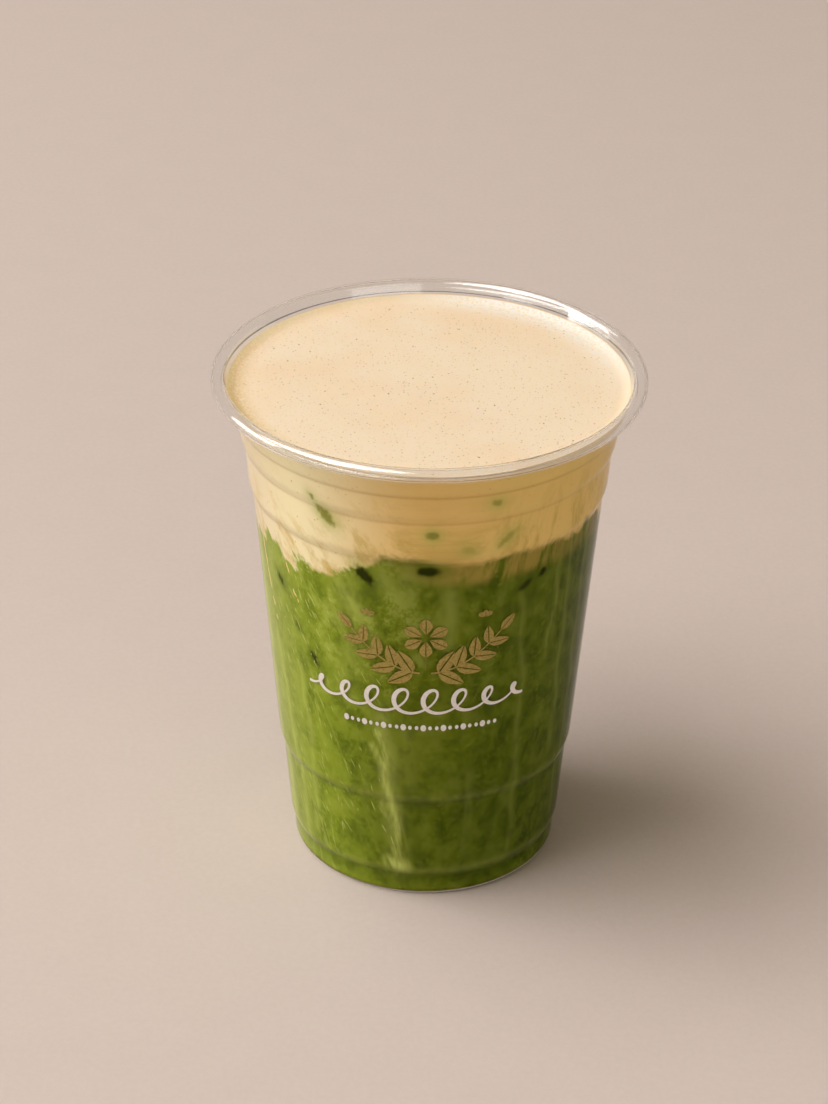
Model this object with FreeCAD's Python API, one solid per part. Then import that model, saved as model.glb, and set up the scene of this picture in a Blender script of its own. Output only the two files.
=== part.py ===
"""An iced matcha latte with a cream top, in a clear thermoformed cup with a rolled rim.

Three solids in one frame: the thin cup, the green drink in it, and the cream that floats on the drink.
The origin is the middle of the cup's foot, on the surface that it stands on. +Z is up, -Y is the front
and +X is on the right. Lengths are millimetres and angles are degrees.
"""

import FreeCAD, Part
import cmath
import math
import os

# The cup's overall size.
RIM_DIAMETER = 98.0
CUP_HEIGHT = 122.5
FOOT_DIAMETER = 62.2

# The plastic sheet, and the bead that its edge is curled into.
SHEET = 0.5
BEAD = 3.3
CURL_TURN = 288.0

# The foot: a flat ring to stand on, round a floor that is pushed up.
FLOOR_LIFT = 2.6
FLOOR_SLOPE = 1.6
FOOT_RING = 3.4
FOOT_CORNER = 2.0
FLOOR_CORNER = 1.0
FOOT_LEAN = 1.0

# Where the wall steps out: two ledges by their height over the foot, and three by their depth under the rim.
FOOT_LEDGE = 5.6
LOWER_LEDGE = 27.4
SHOULDER_DEPTH = 28.1
STACKING_DEPTH = 17.0
LIP_DEPTH = 9.5

# A ledge's rise and width, the finer one's under the lip, and the roundings below and above a ledge.
LEDGE_RISE = 2.2
LEDGE_WIDTH = 0.85
LIP_RISE = 0.6
LIP_WIDTH = 0.3
LEDGE_HOLLOW = 1.0
LEDGE_SHOULDER = 6.0

# The wall's lean between the stacking ledge and the lip, and from there up to the bead.
STACKING_LEAN = 10.5
LIP_LEAN = 17.5

# The drink's surface, by its depth under the rim, and how it climbs the wall.
FREE_DEPTH = 4.0
CLIMB = 1.0
CLIMB_WIDTH = 2.6

# The cream's mean depth, and the waves in its floor round the wall, each as
# (waves per turn, height, angle of a crest from the front towards the right).
CREAM_DEPTH = 27.7
CREAM_WAVES = [(1, 3.7, 90.0), (2, 3.0, 40.0), (3, 3.3, -2.0)]
WAVE_GRID = 15
WAVE_MARGIN = 6.0

LEVEL = CUP_HEIGHT - FREE_DEPTH


def lean(height, angle):
    """How far a wall of that height stands out at that angle from upright."""
    return height * math.tan(math.radians(angle))


def on_bead(radius, angle):
    """A point round the bead's middle, which lies just inside the rim's diameter and height."""
    turn = math.radians(angle)
    middle = (RIM_DIAMETER / 2 - BEAD / 2, CUP_HEIGHT - BEAD / 2)
    return (middle[0] + radius * math.cos(turn), middle[1] + radius * math.sin(turn))


def outside_corners():
    """The outside of the sheet as (radius, height, rounding), from the axis to where the curl starts.

    The lip is placed from the bead down and the foot from the ground up. The body between them has one lean
    throughout, which is whatever joins the two.
    """
    foot = FOOT_DIAMETER / 2
    floor = foot - FOOT_RING
    bead_touch = on_bead(BEAD / 2 - SHEET, 180 - LIP_LEAN)
    lip_height = CUP_HEIGHT - LIP_DEPTH
    lip_top = bead_touch[0] - lean(bead_touch[1] - lip_height - LIP_RISE, LIP_LEAN)
    lip_foot = lip_top - LIP_WIDTH
    stack_height = CUP_HEIGHT - STACKING_DEPTH
    stack_top = lip_foot - lean(lip_height - stack_height - LEDGE_RISE, STACKING_LEAN)
    foot_top = foot + lean(FOOT_LEDGE, FOOT_LEAN)

    ledge_heights = [FOOT_LEDGE, LOWER_LEDGE, CUP_HEIGHT - SHOULDER_DEPTH, stack_height]
    spans = [above - below - LEDGE_RISE for below, above in zip(ledge_heights, ledge_heights[1:])]
    body_slope = (stack_top - foot_top - len(ledge_heights) * LEDGE_WIDTH) / sum(spans)

    corners = [
        (0.0, FLOOR_LIFT, 0.0),
        (floor - FLOOR_SLOPE, FLOOR_LIFT, FLOOR_CORNER),
        (floor, 0.0, FLOOR_CORNER),
        (foot, 0.0, FOOT_CORNER),
    ]
    radius = foot_top
    for height, span in zip(ledge_heights, spans + [0.0]):
        corners.append((radius, height, LEDGE_HOLLOW))
        corners.append((radius + LEDGE_WIDTH, height + LEDGE_RISE, LEDGE_SHOULDER))
        radius += LEDGE_WIDTH + body_slope * span
    corners.append((lip_foot, lip_height, LEDGE_HOLLOW))
    corners.append((lip_top, lip_height + LIP_RISE, LEDGE_SHOULDER))
    corners.append((*bead_touch, 0.0))
    return corners


def shifted(points, offset):
    """An open chain of points moved to its left, each straight run staying parallel to itself."""
    normals = []
    for (r0, z0), (r1, z1) in zip(points, points[1:]):
        run = math.hypot(r1 - r0, z1 - z0)
        normals.append((-(z1 - z0) / run, (r1 - r0) / run))
    moved = []
    for (r, z), before, after in zip(points, normals[:1] + normals, normals + normals[-1:]):
        share = offset / (1 + before[0] * after[0] + before[1] * after[1])
        moved.append((r + share * (before[0] + after[0]), z + share * (before[1] + after[1])))
    return moved


def skin_points(offset):
    """The corners of the sheet's skin at that distance inside its outside."""
    return shifted([(radius, height) for radius, height, _ in outside_corners()], offset)


def turn_at(before, corner, after):
    """The angle in radians by which the chain turns at corner, positive to the left."""
    first = math.atan2(corner[1] - before[1], corner[0] - before[0])
    second = math.atan2(after[1] - corner[1], after[0] - corner[0])
    return math.remainder(second - first, 2 * math.pi)


def towards(start, end, distance):
    share = distance / math.dist(start, end)
    return (start[0] + (end[0] - start[0]) * share, start[1] + (end[1] - start[1]) * share)


def vector(point):
    return FreeCAD.Vector(point[0], 0.0, point[1])


def line(start, end):
    return Part.makeLine(vector(start), vector(end))


def arc(start, middle, end):
    return Part.Arc(vector(start), vector(middle), vector(end)).toShape()


def rounded_chain(points, offset):
    """Lines and arcs along a skin's corners, each rounded about the same centre as the outside is."""
    roundings = [rounding for _, _, rounding in outside_corners()]
    edges = []
    last = points[0]
    for before, corner, after, rounding in zip(points, points[1:], points[2:], roundings[1:]):
        turn = turn_at(before, corner, after)
        radius = rounding - math.copysign(offset, turn)
        cut = radius * math.tan(abs(turn) / 2)
        enter = towards(corner, before, cut)
        leave = towards(corner, after, cut)
        chord_middle = ((enter[0] + leave[0]) / 2, (enter[1] + leave[1]) / 2)
        middle = towards(corner, chord_middle, radius / math.cos(turn / 2) - radius)
        edges.append(line(last, enter))
        edges.append(arc(enter, middle, leave))
        last = leave
    edges.append(line(last, points[-1]))
    return edges


def skin(offset):
    """A skin's edges from the axis to the end of the curl, and its two ends."""
    points = skin_points(offset)
    radius = BEAD / 2 - SHEET + offset
    start_angle = 180 - LIP_LEAN
    end = on_bead(radius, start_angle - CURL_TURN)
    curl = arc(points[-1], on_bead(radius, start_angle - CURL_TURN / 2), end)
    return rounded_chain(points, offset) + [curl], points[0], end


def turned(edges):
    """The solid that a closed outline sweeps round the axis."""
    face = Part.Face(Part.Wire(Part.__sortEdges__(edges)))
    return face.revolve(FreeCAD.Vector(0, 0, 0), FreeCAD.Vector(0, 0, 1), 360)


def cup():
    outside, outside_start, outside_end = skin(0.0)
    inside, inside_start, inside_end = skin(SHEET)
    return turned(outside + inside + [line(outside_end, inside_end), line(outside_start, inside_start)])


def contents():
    """Everything that the cup holds: its inside, up to a surface that climbs the wall."""
    points = skin_points(SHEET)
    lip_foot, lip_end = points[-2:]
    contact = towards(lip_foot, lip_end, (LEVEL + CLIMB - lip_foot[1]) / math.cos(math.radians(LIP_LEAN)))
    flat_edge = (contact[0] - CLIMB_WIDTH, LEVEL)
    radius = (CLIMB_WIDTH**2 + CLIMB**2) / (2 * CLIMB)
    half_turn = math.atan2(CLIMB, CLIMB_WIDTH)
    middle = (flat_edge[0] + radius * math.sin(half_turn), LEVEL + radius * (1 - math.cos(half_turn)))
    surface = [arc(contact, middle, flat_edge), line(flat_edge, (0.0, LEVEL)), line((0.0, LEVEL), points[0])]
    return turned(rounded_chain(points[:-1] + [contact], SHEET) + surface)


def wall_radius(height):
    """The inside of the cup's body at that height, between its ledges."""
    points = skin_points(SHEET)
    lower, upper = next(pair for pair in zip(points[3:], points[4:]) if pair[1][1] > height)
    return lower[0] + (upper[0] - lower[0]) * (height - lower[1]) / (upper[1] - lower[1])


def above_cream_floor():
    """A block taller and wider than the cup, whose underside is the wavy floor of the cream."""
    mean_height = LEVEL - CREAM_DEPTH
    unit = wall_radius(mean_height)
    reach = RIM_DIAMETER / 2 + WAVE_MARGIN

    def floor_point(x, y):
        place = complex(-y, x) / unit
        height = mean_height
        for waves, crest, angle in CREAM_WAVES:
            height += crest * (place**waves * cmath.rect(1, -math.radians(waves * angle))).real
        return FreeCAD.Vector(x, y, height)

    steps = [reach * (2 * i / (WAVE_GRID - 1) - 1) for i in range(WAVE_GRID)]
    floor = Part.BSplineSurface()
    floor.interpolate([[floor_point(x, y) for y in steps] for x in steps])
    return floor.toShape().extrude(FreeCAD.Vector(0, 0, CUP_HEIGHT))


def main():
    os.makedirs("parts", exist_ok=True)
    fill = contents()
    upper = above_cream_floor()
    shapes = {"cup": cup(), "matcha": fill.cut(upper), "cream": fill.common(upper)}
    for name, shape in shapes.items():
        solid = shape.Solids[0]
        print(name, len(shape.Solids), "valid", solid.isValid(), "cm3", round(solid.Volume / 1000, 2))
        solid.exportStep(f"parts/{name}.step")


main()
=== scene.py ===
"""Looks of an iced matcha latte with a cream top, in a clear thermoformed cup with a rolled rim.

Laid out as an add-on: settings, one operator for each piece or group of like pieces, one for the stage, and
a panel. Lengths are metres in the part's own frame: the cup's foot is at the origin, +Z is up, -Y is the
front and +X is on the right. An angle round the wall is counted from the front towards the right.
"""

import math
import random

import bmesh
import bpy
import numpy as np
from bpy.props import FloatProperty, FloatVectorProperty, IntProperty, PointerProperty
from mathutils import Matrix, Vector, noise


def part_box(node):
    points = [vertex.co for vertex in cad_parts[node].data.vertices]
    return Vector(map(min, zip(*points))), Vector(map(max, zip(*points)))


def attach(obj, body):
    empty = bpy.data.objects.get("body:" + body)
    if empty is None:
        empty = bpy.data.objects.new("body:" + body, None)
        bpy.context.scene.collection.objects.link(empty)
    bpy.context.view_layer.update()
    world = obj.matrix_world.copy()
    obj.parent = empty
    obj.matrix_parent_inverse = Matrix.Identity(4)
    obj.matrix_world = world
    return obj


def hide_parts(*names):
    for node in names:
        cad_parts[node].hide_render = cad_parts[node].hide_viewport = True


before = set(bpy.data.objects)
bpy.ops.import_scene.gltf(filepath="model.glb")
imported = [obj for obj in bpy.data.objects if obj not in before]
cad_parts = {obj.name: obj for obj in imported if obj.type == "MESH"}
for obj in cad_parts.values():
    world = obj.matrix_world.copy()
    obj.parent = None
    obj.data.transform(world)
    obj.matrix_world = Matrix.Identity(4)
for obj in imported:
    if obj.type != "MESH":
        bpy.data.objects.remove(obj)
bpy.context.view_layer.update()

bl_info = {
    "name": "Matcha latte in a clear cup",
    "version": (1, 0, 0),
    "blender": (4, 5, 0),
    "location": "3D View > Sidebar > Latte",
    "description": "Builds the looks of an iced matcha latte with a cream top in a clear cup",
    "category": "Object",
}

MM = 0.001
CUP_LOW, CUP_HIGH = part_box("cup")
CREAM_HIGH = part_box("cream")[1]

# The cup's foot, ledges and lip, as the cup is thermoformed.
FOOT_RADIUS = 31.1 * MM
FLOOR_LIFT = 2.6 * MM
FLOOR_SLOPE = 1.6 * MM
FOOT_RING = 3.4 * MM
FOOT_CORNER = 2.0 * MM
FLOOR_CORNER = 1.0 * MM
FOOT_LEAN = 1.0
FOOT_LEDGE = 5.6 * MM
LOWER_LEDGE = 27.4 * MM
SHOULDER_DEPTH = 28.1 * MM
STACKING_DEPTH = 17.0 * MM
LIP_DEPTH = 9.5 * MM
LEDGE_RISE = 2.2 * MM
LEDGE_WIDTH = 0.85 * MM
LIP_RISE = 0.6 * MM
LIP_WIDTH = 0.3 * MM
LEDGE_HOLLOW = 1.0 * MM
LEDGE_SHOULDER = 6.0 * MM
STACKING_LEAN = 10.5
LIP_LEAN = 17.5
CURL_TURN = 288.0
CLIMB = 1.0 * MM
CLIMB_WIDTH = 2.6 * MM

# The radius in mm at which a run of milk's angles are turned to lengths.
RUN_RADIUS = 36

# The angle that the light comes from, round the wall.
LIT_FROM = -78

# Where the cream ends against the wall, as (angle, height in mm), and how far that line frays there in mm.
CREAM_LINE = [
    (-140, 88.0), (-105, 87.0), (-84, 86.0), (-71, 88.5), (-58, 89.0), (-48, 88.0), (-37, 88.0), (-31, 89.6),
    (-25, 91.8), (-20, 94.0), (-14, 96.0), (-4, 96.2), (5, 95.3), (18, 95.0), (30, 95.2), (46, 94.6),
    (60, 94.4), (70, 93.6), (84, 91.8), (112, 90.0), (142, 88.5), (176, 88.0),
]
FRAY = [
    (-140, 6.0), (-90, 6.0), (-62, 9.0), (-40, 8.0), (-26, 6.0), (-12, 2.6), (5, 2.0), (40, 2.4), (60, 3.6),
    (85, 4.5), (150, 4.5),
]
FRAY_REACH = 3.2

# How far streaks in the drink lean, as (angle, degrees of turn for each mm of height over their foot in mm).
STREAK_LEAN = [(-150, 0.2), (-60, 0.75), (-15, 0.45), (25, -0.25), (60, 0.0)]
STREAK_FOOT = 60

# How strongly the painted shade in each ledge's crease shows, from the foot up, and its width in mm; the
# painted glint on each ledge goes with the same strength.
LEDGE_SHADING = [(1.0, 0.5), (0.8, 0.5), (0.35, 0.36), (0.35, 0.36), (0.5, 0.36)]

# Where ice touches the wall: angle, height, length and width in mm, lean of its top to the right in degrees,
# and how dark it shows.
# The dark of each spot, and of the halo round it, is painted shade seen through clear ice.
ICE_TOUCHES = [
    (-32.8, 104.2, 6.0, 2.4, -44.0, 0.85),
    (-36.5, 108.2, 2.6, 1.2, -40.0, 0.20),
    (1.5, 102.7, 2.0, 2.6, 0.0, 0.75),
    (20.5, 110.5, 1.6, 2.6, 20.0, 0.45),
    (25.2, 100.2, 5.4, 1.5, 47.0, 0.40),
    (13.0, 98.4, 2.0, 3.4, 30.0, 0.18),
    (-58.4, 79.5, 3.6, 1.2, -40.0, 0.85),
    (-20.6, 90.5, 6.0, 2.5, -40.0, 1.0),
    (0.7, 92.9, 2.3, 4.9, 0.0, 1.0),
    (40.8, 87.6, 2.4, 1.8, 40.0, 1.0),
    (34.0, 85.8, 3.8, 1.7, 58.0, 0.85),
    (-42.5, 62.9, 3.8, 1.4, -36.0, 0.90),
    (-50.0, 69.4, 2.4, 1.2, -40.0, 0.40),
    (96.0, 86.0, 5.0, 2.4, 30.0, 1.0),
    (118.0, 70.0, 4.0, 1.6, -20.0, 0.8),
    (150.0, 82.0, 5.5, 2.6, -35.0, 1.0),
    (172.0, 101.0, 3.5, 2.0, 20.0, 0.6),
    (-120.0, 79.0, 3.0, 5.5, 0.0, 1.0),
    (-150.0, 66.0, 4.0, 1.6, -25.0, 0.8),
    (-160.0, 97.0, 4.5, 2.0, 30.0, 0.6),
]

# Pale runs of milk down the wall: width in mm, strength, and the (angle, height in mm) points they pass.
MILK_RUNS = [
    (1.0, 0.85, [
        (-17.0, 47.0), (-15.5, 37.0), (-14.0, 29.5), (-11.5, 22.5), (-10.8, 16.0), (-10.6, 9.5),
    ]),
    (2.6, 0.30, [(-16.0, 50.0), (-12.5, 28.0), (-11.5, 9.5)]),
    (0.7, 0.60, [(-20.5, 43.5), (-17.5, 39.5), (-15.5, 36.0)]),
    (0.8, 0.50, [(-17.0, 27.0), (-15.0, 23.5), (-12.0, 19.5)]),
    (1.3, 1.00, [(-14.0, 9.4), (-11.5, 8.8), (-8.5, 9.0)]),
    (2.2, 0.12, [(-6.0, 47.0), (-7.0, 34.0)]),
    (3.0, 0.16, [(-24.0, 92.0), (-27.0, 82.0), (-24.0, 72.0), (-30.0, 60.0)]),
    (2.0, 0.34, [(-30.0, 86.0), (-23.0, 80.0)]),
    (2.5, 0.22, [(-15.0, 90.0), (-9.0, 88.0), (-6.0, 91.0)]),
    (2.0, 0.20, [(7.0, 86.0), (9.0, 80.0), (6.0, 74.0)]),
    (1.6, 0.32, [(-77.0, 84.0), (-76.0, 40.0), (-72.0, 8.0)]),
    (1.0, 0.28, [(-66.0, 62.0), (-60.0, 30.0), (-60.0, 10.0)]),
    (0.9, 0.24, [(-52.0, 58.0), (-48.0, 40.0), (-50.0, 12.0)]),
    (1.0, 0.12, [(17.0, 36.0), (18.0, 12.0)]),
    (0.9, 0.14, [(33.0, 84.0), (36.0, 60.0), (38.0, 10.0)]),
    (0.8, 0.20, [(56.0, 93.0), (55.0, 60.0), (56.0, 34.0)]),
    (0.8, 0.22, [(65.0, 93.0), (66.0, 60.0), (67.0, 12.0)]),
    (0.7, 0.18, [(49.0, 88.0), (47.0, 66.0)]),
    (1.4, 0.55, [(104.0, 84.0), (110.0, 40.0), (108.0, 12.0)]),
    (1.2, 0.50, [(142.0, 82.0), (138.0, 40.0)]),
    (1.6, 0.50, [(-168.0, 84.0), (-172.0, 30.0), (-168.0, 8.0)]),
    (1.4, 0.60, [(-128.0, 84.0), (-124.0, 30.0), (-126.0, 8.0)]),
    (1.2, 0.50, [(-98.0, 82.0), (-95.0, 30.0)]),
]

# Cream that has run down inside the wall: angle and height in mm at the top and at the bottom, width in mm.
RIVULETS = [
    (-71.0, 87.0, -69.0, 79.0, 0.42),
    (-69.0, 79.0, -67.0, 73.5, 0.38),
    (-66.6, 72.0, -65.6, 69.5, 0.32),
    (-65.2, 67.6, -64.8, 66.2, 0.26),
    (-54.0, 85.4, -52.2, 82.8, 0.30),
    (-51.2, 79.2, -49.6, 77.4, 0.34),
    (-49.0, 77.0, -48.4, 76.2, 0.24),
    (-61.0, 91.0, -59.5, 88.4, 0.26),
    (104.0, 84.0, 102.0, 60.0, 0.36),
    (-112.0, 80.0, -108.0, 52.0, 0.40),
    (160.0, 82.0, 158.0, 64.0, 0.34),
]

# The print in mm: how high each motif stands, and how it is set out from the middle of the front.
TWIG_FOOT, TWIG_STEPS, LEAF_STEPS = 65.6, 28, (3, 10, 17, 23)
BLOSSOM_FOOT, BLOSSOM_STEM, BLOSSOM_HEIGHT, PETALS = 65.8, 4.6, 75.2, 6
BUD_SIDE, BUD_HEIGHT = 12.5, 79.6
COIL_LEFT, COIL_LENGTH, COIL_HEIGHT, COIL_LOOPS, COIL_STEPS = -28.5, 52.0, 57.6, 8, 320
MARKS_LEFT, MARKS_PITCH, MARKS_HEIGHT, MARKS = -18.6, 1.52, 50.2, 24

# How finely the shells are divided: rows up the wall, rings to the axis, and steps round an arc.
MATCHA_ROWS = 190
CREAM_ROWS = 90
MEETING_RINGS = 8
SURFACE_RINGS = 70
CLIMB_STEPS = 12
CURL_STEPS = 40

# The radius at which flat work is laid on the wall, and how far outside it the laying starts.
WALL_RADIUS = 36.5 * MM
LAYING_REACH = 0.2

# Kinds and settings of nodes that are used often.
MATH, VECTORS, MIX, RAMP = "ShaderNodeMath", "ShaderNodeVectorMath", "ShaderNodeMix", "ShaderNodeMapRange"
NOISE, READ, BODY = "ShaderNodeTexNoise", "ShaderNodeAttribute", "ShaderNodeBsdfPrincipled"
TIMES, LESS, LARGER = {"operation": "MULTIPLY"}, {"operation": "SUBTRACT"}, {"operation": "MAXIMUM"}
TIMES_PLUS = {"operation": "MULTIPLY_ADD"}
SMOOTH = {"interpolation_type": "SMOOTHSTEP"}
COLOURS = {"data_type": "RGBA"}


# ---- small tools


def linear(code):
    """An sRGB hex colour as linear red, green, blue and alpha."""
    parts = [int(code[i:i + 2], 16) / 255 for i in (1, 3, 5)]
    return [c / 12.92 if c <= 0.04045 else ((c + 0.055) / 1.055) ** 2.4 for c in parts] + [1.0]


def add(tree, kind, inputs=(), **settings):
    """Adds a node, sets what it is told, and gives its inputs values or links, by name or in order.

    A node that is given as an input is linked from its first output that is in use.
    """
    node = tree.nodes.new(kind)
    for name, value in settings.items():
        setattr(node, name, value)
    for key, value in inputs.items() if isinstance(inputs, dict) else enumerate(inputs):
        if isinstance(value, bpy.types.Node):
            value = next(output for output in value.outputs if output.enabled)
        if isinstance(value, bpy.types.NodeSocket):
            tree.links.new(value, node.inputs[key])
        else:
            node.inputs[key].default_value = value
    return node


def per_mm(size):
    """The scale at which a pattern on coordinates in metres has features that many millimetres wide."""
    return 1 / (size * MM)


def new_material(name):
    """A material with an empty node tree, and that tree."""
    material = bpy.data.materials.new(name)
    material.use_nodes = True
    material.node_tree.nodes.clear()
    return material, material.node_tree


def new_mesh_object(name, points, edges, faces):
    mesh = bpy.data.meshes.new(name)
    mesh.from_pydata([tuple(p) for p in points], edges, faces)
    mesh.update()
    piece = bpy.data.objects.new(name, mesh)
    bpy.context.scene.collection.objects.link(piece)
    return piece


def tidy_shell(piece, merge=0.0):
    """Merges doubles, turns the faces outwards and shades them smooth."""
    shell = bmesh.new()
    shell.from_mesh(piece.data)
    if merge:
        bmesh.ops.remove_doubles(shell, verts=shell.verts, dist=merge)
    bmesh.ops.recalc_face_normals(shell, faces=shell.faces)
    shell.to_mesh(piece.data)
    shell.free()
    piece.data.polygons.foreach_set("use_smooth", [True] * len(piece.data.polygons))
    piece.data.set_sharp_from_angle(angle=math.radians(40))


def belongs(piece, nodes=()):
    """Says what the piece rides on and which CAD nodes it stands for."""
    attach(piece, "root")
    if nodes:
        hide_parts(*nodes)


def new_tree(name, inputs):
    """A Geometry Nodes tree with a geometry in and out, and these named inputs."""
    tree = bpy.data.node_groups.new(name, "GeometryNodeTree")
    tree.interface.new_socket("Geometry", in_out="INPUT", socket_type="NodeSocketGeometry")
    for label, kind in inputs:
        tree.interface.new_socket(label, in_out="INPUT", socket_type="NodeSocket" + kind)
    tree.interface.new_socket("Geometry", in_out="OUTPUT", socket_type="NodeSocketGeometry")
    return tree, tree.nodes.new("NodeGroupInput")


def end_tree(tree, given, geometry):
    """Ends a tree in plain faces with their material."""
    real = add(tree, "GeometryNodeRealizeInstances", {"Geometry": geometry})
    coated = add(tree, "GeometryNodeSetMaterial",
                 {"Geometry": real, "Material": given.outputs["Material"]})
    add(tree, "NodeGroupOutput", {0: coated})


def grow(piece, tree, values):
    """Runs a tree on a piece and leaves the result as its plain mesh."""
    modifier = piece.modifiers.new(tree.name, "NODES")
    modifier.node_group = tree
    for socket in tree.interface.items_tree:
        if socket.in_out == "INPUT" and socket.name in values:
            modifier[socket.identifier] = values[socket.name]
    evaluated = piece.evaluated_get(bpy.context.evaluated_depsgraph_get())
    mesh = bpy.data.meshes.new_from_object(evaluated)
    piece.modifiers.clear()
    old = piece.data
    piece.data = mesh
    mesh.name = piece.name
    bpy.data.meshes.remove(old)


def eased(value, low, high):
    """0 below low, 1 above high, and a smooth rise between."""
    share = np.clip((value - low) / (high - low), 0, 1)
    return share * share * (3 - 2 * share)


def round_the_wall(points, angles):
    """A value at each angle from (angle, value) points that go once round, eased from one to the next."""
    points = sorted(points)
    first, last = points[0], points[-1]
    loop = [(last[0] - 360, last[1])] + points + [(first[0] + 360, first[1])]
    found = np.zeros_like(angles)
    for (start, low), (end, high) in zip(loop, loop[1:]):
        here = (angles >= start) & (angles <= end)
        found[here] = low + (high - low) * eased(angles[here], start, end)
    return found


def turned_by(angles, middle):
    """How far each angle is from the middle one, from -180 to 180."""
    return (angles - middle + 180) % 360 - 180


def hump(angles, middle, width, power=2):
    """1 at the middle angle and falling off to 0 on both sides, flatter on top for a higher power."""
    return np.exp(-((turned_by(angles, middle) / width) ** power))


# ---- the cup's outline


def lean(height, angle):
    """How far a wall of that height stands out at that angle from upright."""
    return height * math.tan(math.radians(angle))


def on_bead(cup, radius, angle):
    """A point round the middle of the rolled rim, as (radius from the axis, height)."""
    turn = math.radians(angle)
    middle = (cup.rim_radius - cup.bead / 2, cup.height - cup.bead / 2)
    return (middle[0] + radius * math.cos(turn), middle[1] + radius * math.sin(turn))


def outside_corners(cup):
    """The outside of the sheet as (radius, height, rounding), from the axis to where the curl starts."""
    floor = FOOT_RADIUS - FOOT_RING
    bead_touch = on_bead(cup, cup.bead / 2 - cup.sheet, 180 - LIP_LEAN)
    lip_height = cup.height - LIP_DEPTH
    lip_top = bead_touch[0] - lean(bead_touch[1] - lip_height - LIP_RISE, LIP_LEAN)
    lip_foot = lip_top - LIP_WIDTH
    stack_height = cup.height - STACKING_DEPTH
    stack_top = lip_foot - lean(lip_height - stack_height - LEDGE_RISE, STACKING_LEAN)
    foot_top = FOOT_RADIUS + lean(FOOT_LEDGE, FOOT_LEAN)

    heights = [FOOT_LEDGE, LOWER_LEDGE, cup.height - SHOULDER_DEPTH, stack_height]
    spans = [above - below - LEDGE_RISE for below, above in zip(heights, heights[1:])]
    body_slope = (stack_top - foot_top - len(heights) * LEDGE_WIDTH) / sum(spans)

    corners = [
        (0.0, FLOOR_LIFT, 0.0),
        (floor - FLOOR_SLOPE, FLOOR_LIFT, FLOOR_CORNER),
        (floor, 0.0, FLOOR_CORNER),
        (FOOT_RADIUS, 0.0, FOOT_CORNER),
    ]
    radius = foot_top
    for height, span in zip(heights, spans + [0.0]):
        corners.append((radius, height, LEDGE_HOLLOW))
        corners.append((radius + LEDGE_WIDTH, height + LEDGE_RISE, LEDGE_SHOULDER))
        radius += LEDGE_WIDTH + body_slope * span
    corners.append((lip_foot, lip_height, LEDGE_HOLLOW))
    corners.append((lip_top, lip_height + LIP_RISE, LEDGE_SHOULDER))
    corners.append((*bead_touch, 0.0))
    return corners


def skin(cup, offset, longest=2.5 * MM, arc_steps=6):
    """Points along the sheet, that far inside its outside, from the axis to where the curl starts."""
    corners = [(np.array(c[:2]), c[2]) for c in outside_corners(cup)]
    normals = []
    for (a, _), (b, _) in zip(corners, corners[1:]):
        run = (b - a) / np.linalg.norm(b - a)
        normals.append(np.array([-run[1], run[0]]))
    sides = list(zip(normals[:1] + normals, normals + normals[-1:]))
    moved = [c + offset * (n + m) / (1 + n @ m) for (c, _), (n, m) in zip(corners, sides)]
    line = [moved[0]]
    for before, corner, (n, m), (_, rounding) in zip(moved, moved[1:-1], sides[1:], corners[1:]):
        turn = math.atan2(n[0] * m[1] - n[1] * m[0], n @ m)
        radius = rounding - math.copysign(offset, turn)
        cut = radius * math.tan(abs(turn) / 2)
        enter = corner + (before - corner) / np.linalg.norm(before - corner) * cut
        straight = max(1, round(np.linalg.norm(enter - line[-1]) / longest))
        line += [line[-1] + (enter - line[-1]) * (i + 1) / straight for i in range(straight)]
        centre = enter + n * math.copysign(radius, turn)
        for i in range(arc_steps):
            part = turn * (i + 1) / arc_steps
            spin = np.array([[math.cos(part), -math.sin(part)], [math.sin(part), math.cos(part)]])
            line.append(centre + spin @ (enter - centre))
    straight = max(1, round(np.linalg.norm(moved[-1] - line[-1]) / longest))
    return line + [line[-1] + (moved[-1] - line[-1]) * (i + 1) / straight for i in range(straight)]


def wall_line(cup, offset):
    """The upright part of the sheet as rising heights and the radius at each."""
    line = skin(cup, offset)
    widest = max(i for i, p in enumerate(line) if p[1] <= line[0][1]) + 1
    upright = np.array(line[widest:])
    return upright[:, 1], upright[:, 0]


# ---- materials


def clear_pet(cup):
    """Thermoformed PET sheet: clear and glossy, so the eye sees it only by its highlights and its edges.

    Its index of refraction is well under PET's 1.57: the drink touches the wall here, and a higher one lays a
    pale haze over the drink. The rim is a tight curl, where several skins mirror the light at once, so a coat
    makes that part brighter. Light on its way to the drink passes the sheet with hardly any loss.
    """
    material, tree = new_material("clear_pet")
    place = add(tree, "ShaderNodeTexCoord").outputs["Object"]
    height = add(tree, "ShaderNodeSeparateXYZ", [place]).outputs["Z"]
    curl = add(tree, RAMP, (height, cup.height - 1.6 * cup.bead, cup.height - 0.9 * cup.bead), **SMOOTH)
    sheet = add(tree, BODY, {
        "Base Color": linear("#FBFCFB"), "Roughness": cup.roughness, "IOR": cup.ior,
        "Transmission Weight": 1.0, "Coat Weight": curl, "Coat Roughness": 0.07,
        "Coat IOR": cup.rim_shine,
    })
    lit_through = add(tree, "ShaderNodeBsdfTransparent", {"Color": linear("#F4F4F2")})
    shadow_ray = add(tree, "ShaderNodeLightPath").outputs["Is Shadow Ray"]
    mixed = add(tree, "ShaderNodeMixShader", (shadow_ray, sheet, lit_through))
    add(tree, "ShaderNodeOutputMaterial", {"Surface": mixed})
    return material


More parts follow.
